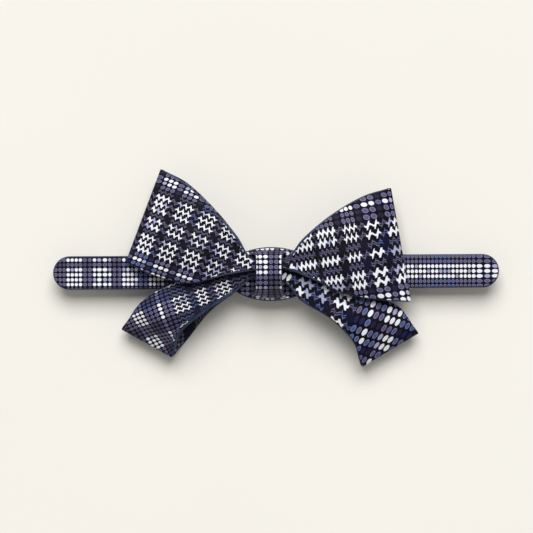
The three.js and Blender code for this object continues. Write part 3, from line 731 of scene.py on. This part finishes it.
def edge(start, end, swell, height):
    """An edge's points between the waist and the fold corner."""
    start, end = np.array(start[:2], float), np.array(end[:2], float)
    chord = end - start
    up = unit(np.array([-chord[1], chord[0]])) * np.sign(chord[0])
    return [(*(start + chord * share + up * swell[i]), height[i]) for i, share in enumerate(SHARES)]


def ply(lobe, side):
    """A ply's stations from the waist outwards, without the waist itself and the fold."""
    top = edge(lobe["waist"]["top"], lobe["fold"]["top"], *lobe[side]["top"])
    bottom = edge(lobe["waist"]["bottom"], lobe["fold"]["bottom"], *lobe[side]["bottom"])
    return [station(top[i], bottom[i], lobe[side]["rise"][i]) for i in range(len(SHARES))]


def beside_fold(lobe, outermost, up):
    """The station where a ply comes out of its end fold, above (up = 1) or below (up = -1) the fold."""
    roll = lobe["fold"]["roll"]
    corners = {}
    for key, point in (("bottom", outermost[0]), ("top", outermost[2])):
        corner = np.array(lobe["fold"][key], float)
        inwards = unit(point[:2] - corner[:2]) * FOLD_LENGTH * roll
        corners[key] = corner + np.array([inwards[0], inwards[1], up * roll])
    return station(corners["top"], corners["bottom"], 0)


def waist_station(lobe, height):
    return station((*lobe["waist"]["top"], height), (*lobe["waist"]["bottom"], height), 0)


def tip(lobe):
    return station(lobe["fold"]["top"], lobe["fold"]["bottom"], 0)


STEPS = 12  # rows from one station to the next
COLUMNS = 24


def navy_margins(rows, order):
    """What the cloths are drawn in by at the bottom and top edge of each row. order names the lobes round
    the ring: the two fronts, then the two backs."""
    count = len(rows)
    quarter = count // 4
    at = np.arange(count)
    taper = MARGIN_AT_ENDS + (1 - MARGIN_AT_ENDS) * np.abs(np.sin(at * math.pi / quarter))
    widths = np.linalg.norm(np.diff(rows, axis=1), axis=2).sum(1)
    lip = LIP_SHARE * widths * np.exp(-(((at - quarter) / (LIP_REACH * count)) ** 2))
    margins = []
    for edge_number in (0, 1):
        plies = zip(order, ("front", "front", "back", "back"))
        shown = np.concatenate([np.full(quarter, MARGINS[key][side][edge_number]) for key, side in plies])
        around = np.concatenate([shown[-STEPS:], shown, shown[:STEPS]])
        smooth = np.convolve(around, np.ones(STEPS) / STEPS, "same")[STEPS:-STEPS]
        margins.append(smooth * taper + lip + CLOTH / 2)
    return tuple(margins)


def bow(name, left, right, front, back):
    """One bow: a ring of three bonded layers that runs in along the left lobe's front, out along the
    right's, and home along the backs."""
    lobes = LOBES[left], LOBES[right]
    plies = {(i, side): ply(lobe, side) for i, lobe in enumerate(lobes) for side in ("front", "back")}
    stations = [
        tip(lobes[0]),
        beside_fold(lobes[0], plies[0, "front"][-1], 1),
        *reversed(plies[0, "front"]),
        waist_station(lobes[0], front),
        waist_station(lobes[1], front),
        *plies[1, "front"],
        beside_fold(lobes[1], plies[1, "front"][-1], 1),
        tip(lobes[1]),
        beside_fold(lobes[1], plies[1, "back"][-1], -1),
        *reversed(plies[1, "back"]),
        waist_station(lobes[1], back),
        waist_station(lobes[0], back),
        *plies[0, "back"],
        beside_fold(lobes[0], plies[0, "back"][-1], -1),
    ]
    rows = ribbon_grid(stations, COLUMNS, STEPS)
    normals = grid_normals(rows)
    count = len(rows)
    half = len(SHARES) + 2  # stations from a tip to the waist
    front_middle = half * STEPS + STEPS // 2
    back_middle = front_middle + count // 2
    laid = (half - 1) * STEPS  # the rows that are matched to their place as seen from above
    sides = {
        right: [(front_middle + k) % count for k in range(count // 2 + 1)],
        left: [(back_middle + k) % count for k in range(count // 2 + 1)],
    }
    cells = np.zeros((count, 2, COLUMNS + 1, 2))
    owners = [0] * count
    for side, (key, order) in enumerate(reversed(sides.items())):
        strip = rows[order]
        # the rows on the front, nearest the camera, come first for the right lobe and last for the left
        if key == right:
            flat = laid_over(unrolled(strip), strip[:, :, :2], laid)
        else:
            flat = laid_over(unrolled(strip)[::-1], strip[::-1][:, :, :2], laid)[::-1]
        found = cloth_cells(flat, CUTS[key])
        for k in range(len(order) - 1):
            cells[order[k], 0] = found[k]
            cells[order[k], 1] = found[k + 1]
            owners[order[k]] = side
    looks, reverses_with_shade = [], []
    for key in (left, right):
        # the insides of the loops show the cloth's duller reverse, its yarns dimmed further as painted shade
        # inside the loops
        cut = [CUTS[key][kind] for kind in ("along", "across", "bloom", "slant", "latticed", "dims")]
        looks.append(woven(f"check_{key}", *cut))
        reverses_with_shade.append(woven(f"shaded_reverse_{key}", *cut[:-1], DIMS, REVERSE_AND_SHADE_PALES))
    length = np.linalg.norm(np.roll(rows, -1, 0) - rows, axis=2)[:, COLUMNS // 2].sum()
    width = max(np.linalg.norm(np.diff(row, axis=0), axis=1).sum() for row in rows)
    margins = navy_margins(rows, (left, right, right, left))
    inner = CORE / 2
    layers = (
        ("outer_cloth", inner, inner + CLOTH, margins, looks, "woven_check"),
        ("core", -inner, inner, inner, [NAVY_EDGE], "navy_interlining"),
        ("inner_cloth", -inner - CLOTH, -inner, margins, reverses_with_shade, "woven_check"),
    )
    for layer, low, high, rim, dressed, slot in layers:
        patterned = slot == "woven_check"
        piece = ribbon_mesh(
            f"{name}_{layer}_look",
            rows,
            normals,
            low,
            high,
            rim,
            cells if patterned else None,
            owners if patterned else None,
        )
        dress(
            piece,
            dressed,
            [f"{name}_{layer}"],
            min(sheet_area(rows, RIM), width * length),
        )


# ---------------------------------------------------------------- knot band

KNOT_ALONG, KNOT_ACROSS = "DDddD", "DDDddDdddD"
KNOT_COLUMN_SHIFT = 0.4  # cells to the right
KNOT_ROW_SHIFT = 0.5  # millimetres down the front
KNOT_STEPS, KNOT_COLUMNS = 10, 20
KNOT_CORE_RIM = 0.3
KNOT_SOFTENING = 0.6


def oval_share(x):
    """How far an arc that follows the oval's outline has come back towards its middle line at x."""
    return math.sqrt(1 - ((x - OVAL_X) / (OVAL_LENGTH / 2)) ** 2)


def knot_stations():
    """The band's stations, down the front of the knot, behind the strap and up again."""
    back = STRAP_BACK - BOND - CORE / 2
    half = KNOT_WIDTH / 2
    high_slot, low_slot = OVAL_Y + SLOT_MIDDLE, OVAL_Y - SLOT_MIDDLE
    in_slot = CLOTH / 2
    strap_edge = STRAP_WIDTH / 2
    binding_high = LOBES["upper_left"]["waist"]["top"][1] + BOND + BINDING
    binding_low = LOBES["lower_right"]["waist"]["bottom"][1] - BOND - BINDING

    def across(y, z, half_width, follows=0.0, crown=0.0):
        def at(x, lift=0.0):
            drop = follows * (1 - oval_share(x)) * (y - OVAL_Y)
            return np.array([x, y - drop, z + lift])

        return at(KNOT_X - half_width), at(KNOT_X, crown), at(KNOT_X + half_width)

    return [
        across(binding_high - 0.3, CREST, half, crown=0.5),
        across(binding_low + 0.1, CREST, half, crown=0.5),
        across((binding_low + low_slot) / 2 - 0.6, CREST - 4, half + 0.5, 0.6, 0.3),
        across(low_slot + in_slot, OVAL_TOP + 1.2, half + 1.7, 1),
        across(low_slot + in_slot, OVAL_CORE_BACK - 0.3, half + 2, 1),
        across(-strap_edge - 0.9, back + 0.1, half + 0.6, 0.6),
        across(-strap_edge + 1.2, back, half),
        across(-2.4, back, half),
        across(2.4, back, half),
        across(strap_edge - 1.2, back, half),
        across(strap_edge + 0.9, back + 0.1, half + 0.6, 0.6),
        across(high_slot - in_slot, OVAL_CORE_BACK - 0.3, half + 2, 1),
        across(high_slot - in_slot, OVAL_TOP + 1.2, half + 1.7, 1),
        across((binding_high + high_slot) / 2 + 0.6, CREST - 3.5, half + 0.5, 0.6, 0.3),
    ]


def knot_band():
    rows = ribbon_grid(knot_stations(), KNOT_COLUMNS, KNOT_STEPS)
    normals = grid_normals(rows)
    count = len(rows)
    # the dots' columns spread with the band, so a cell's place across is its share of the width
    share = np.linspace(0, 1, KNOT_COLUMNS + 1) * len(KNOT_ALONG) - KNOT_COLUMN_SHIFT
    travel = np.linalg.norm(np.roll(rows, -1, 0) - rows, axis=2)[:, KNOT_COLUMNS // 2]
    gone = np.concatenate([[0], np.cumsum(travel)])
    # the seam, where the count starts again, is behind the strap
    signed = np.where(gone > gone[-1] / 2, gone - gone[-1], gone)
    signed[-1] = 0.0
    cells = np.zeros((count, 2, KNOT_COLUMNS + 1, 2))
    for i in range(count):
        for k in (0, 1):
            cells[i, k, :, 0] = share
            cells[i, k, :, 1] = cell_numbers(signed[i + k] - KNOT_ROW_SHIFT, KNOT_ACROSS)
    look = woven("check_knot", KNOT_ALONG, KNOT_ACROSS, -0.1)
    inner = CORE / 2
    core = ribbon_mesh("knot_band_core_look", rows, normals, -inner, inner, inner)
    area = sheet_area(rows, KNOT_CORE_RIM)
    dress(core, [NAVY_EDGE], ["knot_band_core"], area)
    shape = (rows, normals, inner, inner + CLOTH, KNOT_SOFTENING)
    cloth = ribbon_mesh("knot_band_cloth_look", *shape, cells, [0] * count)
    dress(cloth, [look], ["knot_band_cloth"], sheet_area(rows, RIM))


# ---------------------------------------------------------------- oval base and strap

# how far the sheets' edges are rounded
OVAL_CORE_SOFTENING, OVAL_CLOTH_SOFTENING = 0.35, 0.3
STRAP_CORE_SOFTENING, STRAP_CLOTH_SOFTENING = 0.45, 0.2
OVAL_FACE_DROP = 0.15  # from the CAD's top to the look's


def plate_mesh(name, outline, low, high, soften, cells_at=None):
    """A flat sheet over a closed outline that is star-shaped about its middle, its edge rounded by
    soften. cells_at gives the cloth map at a point."""
    outline = np.asarray(outline, float)
    middle = outline.mean(0)
    inwards = unit(middle - outline)
    turns = (0.0, math.pi / 6, math.pi / 3, math.pi / 2)
    rings = [outline + inwards * soften * (1 - math.sin(a)) for a in turns]
    rises = [(high - low) / 2 * (1 - math.cos(a)) for a in turns]
    layers = [(ring, low + rise) for ring, rise in zip(rings, rises)]
    layers += [(ring, high - rise) for ring, rise in zip(rings[::-1], rises[::-1])]
    for share in (0.04, 0.1, 0.2, 0.35, 0.55, 0.8):
        base = outline + inwards * soften
        layers.append((base + (middle - base) * share, high))
    n = len(outline)
    points = [(*xy, z) for ring, z in layers for xy in ring]
    points += [(*middle, high), (*middle, low)]
    faces = []
    for r in range(len(layers) - 1):
        for k in range(n):
            k2 = (k + 1) % n
            faces.append((r * n + k, r * n + k2, (r + 1) * n + k2, (r + 1) * n + k))
    top = (len(layers) - 1) * n
    faces += [(top + k, top + (k + 1) % n, len(points) - 2) for k in range(n)]
    faces += [((k + 1) % n, k, len(points) - 1) for k in range(n)]
    corners = []
    if cells_at:
        where = cells_at(np.array([p[:2] for p in points]))
        corners = [where[index] for face in faces for index in face]
    return solid_mesh(name, np.array(points), faces, corners, [0] * len(faces) if cells_at else ())


def oval_outline(inset):
    turns = np.linspace(0, 2 * math.pi, 97)[:-1]
    return np.stack(
        [
            OVAL_X + (OVAL_LENGTH / 2 - inset) * np.cos(turns),
            OVAL_Y + (OVAL_HEIGHT / 2 - inset) * np.sin(turns),
        ],
        -1,
    )


def strip_mesh(name, length, width, low, high, soften, cells_at=None):
    """A strip with half-round ends: cross sections along X, each a rounded slab."""
    radius = width / 2
    reach = length / 2 - radius
    ends = np.sin(np.linspace(0, math.pi / 2, 16)[1:]) * radius
    x = np.concatenate([-reach - ends[::-1], np.linspace(-reach, reach, 90), reach + ends])
    # the last section stops just short, so that it keeps a width
    x[0], x[-1] = -length / 2 + 0.02, length / 2 - 0.02
    past = np.maximum(np.abs(x) - reach, 0)
    half = np.sqrt(np.maximum(radius**2 - past**2, 0.01))
    t = np.linspace(-1, 1, 13)
    rows = np.stack([np.repeat(x[:, None], len(t), 1), half[:, None] * t, np.zeros((len(x), len(t)))], -1)
    normals = np.zeros_like(rows)
    normals[..., 2] = 1
    cells = None
    if cells_at:
        where = cells_at(rows[..., :2])
        cells = np.stack([where, np.roll(where, -1, 0)], 1)
    return ribbon_mesh(
        name, rows, normals, low, high, soften, cells, [0] * len(x) if cells_at else None, closed=False
    )


def oval_base():
    cut = {"grain": 0.0, "start": (-22.0, -12.5), "along": "DDdDDdDD", "across": "DddDDddddD"}
    look = woven("check_oval", cut["along"], cut["across"], -0.1)
    area = math.pi * OVAL_LENGTH * OVAL_HEIGHT / 4
    core_top = OVAL_CORE_BACK + CORE
    core = plate_mesh("oval_base_core_look", oval_outline(0), OVAL_CORE_BACK, core_top, OVAL_CORE_SOFTENING)
    dress(core, [NAVY_EDGE], ["oval_base_core"], area)
    cloth = plate_mesh(
        "oval_base_cloth_look",
        oval_outline(RIM),
        core_top,
        OVAL_TOP - OVAL_FACE_DROP,
        OVAL_CLOTH_SOFTENING,
        lambda p: cloth_cells(p, cut),
    )
    dress(cloth, [look], ["oval_base_cloth"], area)


def strap():
    left = {
        "grain": 0.0,
        "start": (-STRAP_LENGTH / 2, -8.3),
        "along": "dbbBBBBddBTTBddBBBBddBBBB",
        "across": "dDDDDdD",
    }
    right = {
        "grain": 0.0,
        "start": (STRAP_LENGTH / 2, -7.6),
        "along": "B" * 45 + "WWW",
        "across": "ddDDDdd",
    }
    looks = [
        woven(f"check_strap_{side}", cut["along"], cut["across"], -0.2)
        for side, cut in (("left", left), ("right", right))
    ]

    def cells_at(points):
        return np.where(points[..., :1] < OVAL_X, cloth_cells(points, left), cloth_cells(points, right))

    area = STRAP_LENGTH * STRAP_WIDTH
    within = (STRAP_LENGTH - 2 * RIM, STRAP_WIDTH - 2 * RIM)
    heights = (STRAP_FACE_BACK - BOND, STRAP_TOP)
    face = strip_mesh("strap_face_look", *within, *heights, STRAP_CLOTH_SOFTENING, cells_at)
    face.data.polygons.foreach_set(
        "material_index", [int(p.center.x / MM - SHIFT[0] > OVAL_X) for p in face.data.polygons]
    )
    dress(face, looks, ["strap_face_cloth"], area)
    heights = (STRAP_CORE_BACK, STRAP_CORE_BACK + CORE + BOND)
    core = strip_mesh("strap_core_look", STRAP_LENGTH, STRAP_WIDTH, *heights, STRAP_CORE_SOFTENING)
    dress(core, [NAVY_EDGE], ["strap_core"], area)
    heights = (STRAP_BACK, STRAP_CORE_BACK)
    lining = strip_mesh("strap_back_look", *within, *heights, STRAP_CLOTH_SOFTENING)
    dress(lining, [LINING], ["strap_back_lining"], area)


# ---------------------------------------------------------------- build

NAVY_EDGE = pressed_edge()
LINING = satin_lining()
THREAD = twisted_thread()
NICKEL = nickel()
STEEL = spring_wire()

bow("upper_bow", "upper_left", "upper_right", UPPER_FRONT, UPPER_BACK)
bow("lower_bow", "lower_left", "lower_right", LOWER_FRONT, LOWER_BACK)
knot_band()
oval_base()
strap()

for name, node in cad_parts.items():
    if node.hide_render:
        continue
    look = STEEL if "spring" in name else NICKEL if "clip" in name else THREAD
    node.data.materials.clear()
    node.data.materials.append(look)

# ---------------------------------------------------------------- stage, light and camera


def paper():
    look = Look("pale_paper", roughness=0.9, specular=0.1)
    look.put("Base Color", look.mix(look.noise(6.0, 2.0), "#f1eee7", "#f5f2eb"))
    return look.material


FLOOR_SIZE = 6.0


def floor():
    bpy.ops.mesh.primitive_plane_add(size=FLOOR_SIZE, location=(0, 0, 0))
    made = bpy.context.object
    made.name = "floor"
    made.data.materials.append(paper())


LAMP_PLACE = (0.0, 4.7, 6.5)
LAMP_SIZE = (6.0, 5.6)
LAMP_POWER = 680.0
WORLD_STRENGTH = 0.3


def lamp():
    """One large soft light above the top of the picture, aimed at the tie."""
    light = bpy.data.lights.new("key", "AREA")
    light.shape = "RECTANGLE"
    light.size, light.size_y = LAMP_SIZE
    light.energy = LAMP_POWER
    made = bpy.data.objects.new("key", light)
    bpy.context.scene.collection.objects.link(made)
    made.location = LAMP_PLACE
    made.rotation_mode = "QUATERNION"
    made.rotation_quaternion = (-Vector(LAMP_PLACE)).to_track_quat("-Z", "Y")


def studio():
    world = bpy.data.worlds.new("studio")
    bpy.context.scene.world = world
    world.use_nodes = True
    background = world.node_tree.nodes["Background"]
    background.inputs[0].default_value = linear("#fffdf8")
    background.inputs[1].default_value = WORLD_STRENGTH
    lamp()
    bpy.context.scene.view_settings.view_transform = "Standard"


CAMERA_HEIGHT = 1.5
VIEW_WIDTH = 0.2292  # what the camera sees at the strap's height
VIEW_TURN = -0.0056  # radians
VIEW_MIDDLE = (-0.0041, 0.0007)


def camera():
    made = bpy.data.cameras.new("camera")
    made.sensor_width = 36
    made.lens = made.sensor_width * CAMERA_HEIGHT / VIEW_WIDTH
    place = bpy.data.objects.new("camera", made)
    bpy.context.scene.collection.objects.link(place)
    strap_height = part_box("strap_core")[1].z
    place.location = (*VIEW_MIDDLE, strap_height + CAMERA_HEIGHT)
    place.rotation_euler = (0, 0, VIEW_TURN)
    bpy.context.scene.camera = place


floor()
studio()
camera()
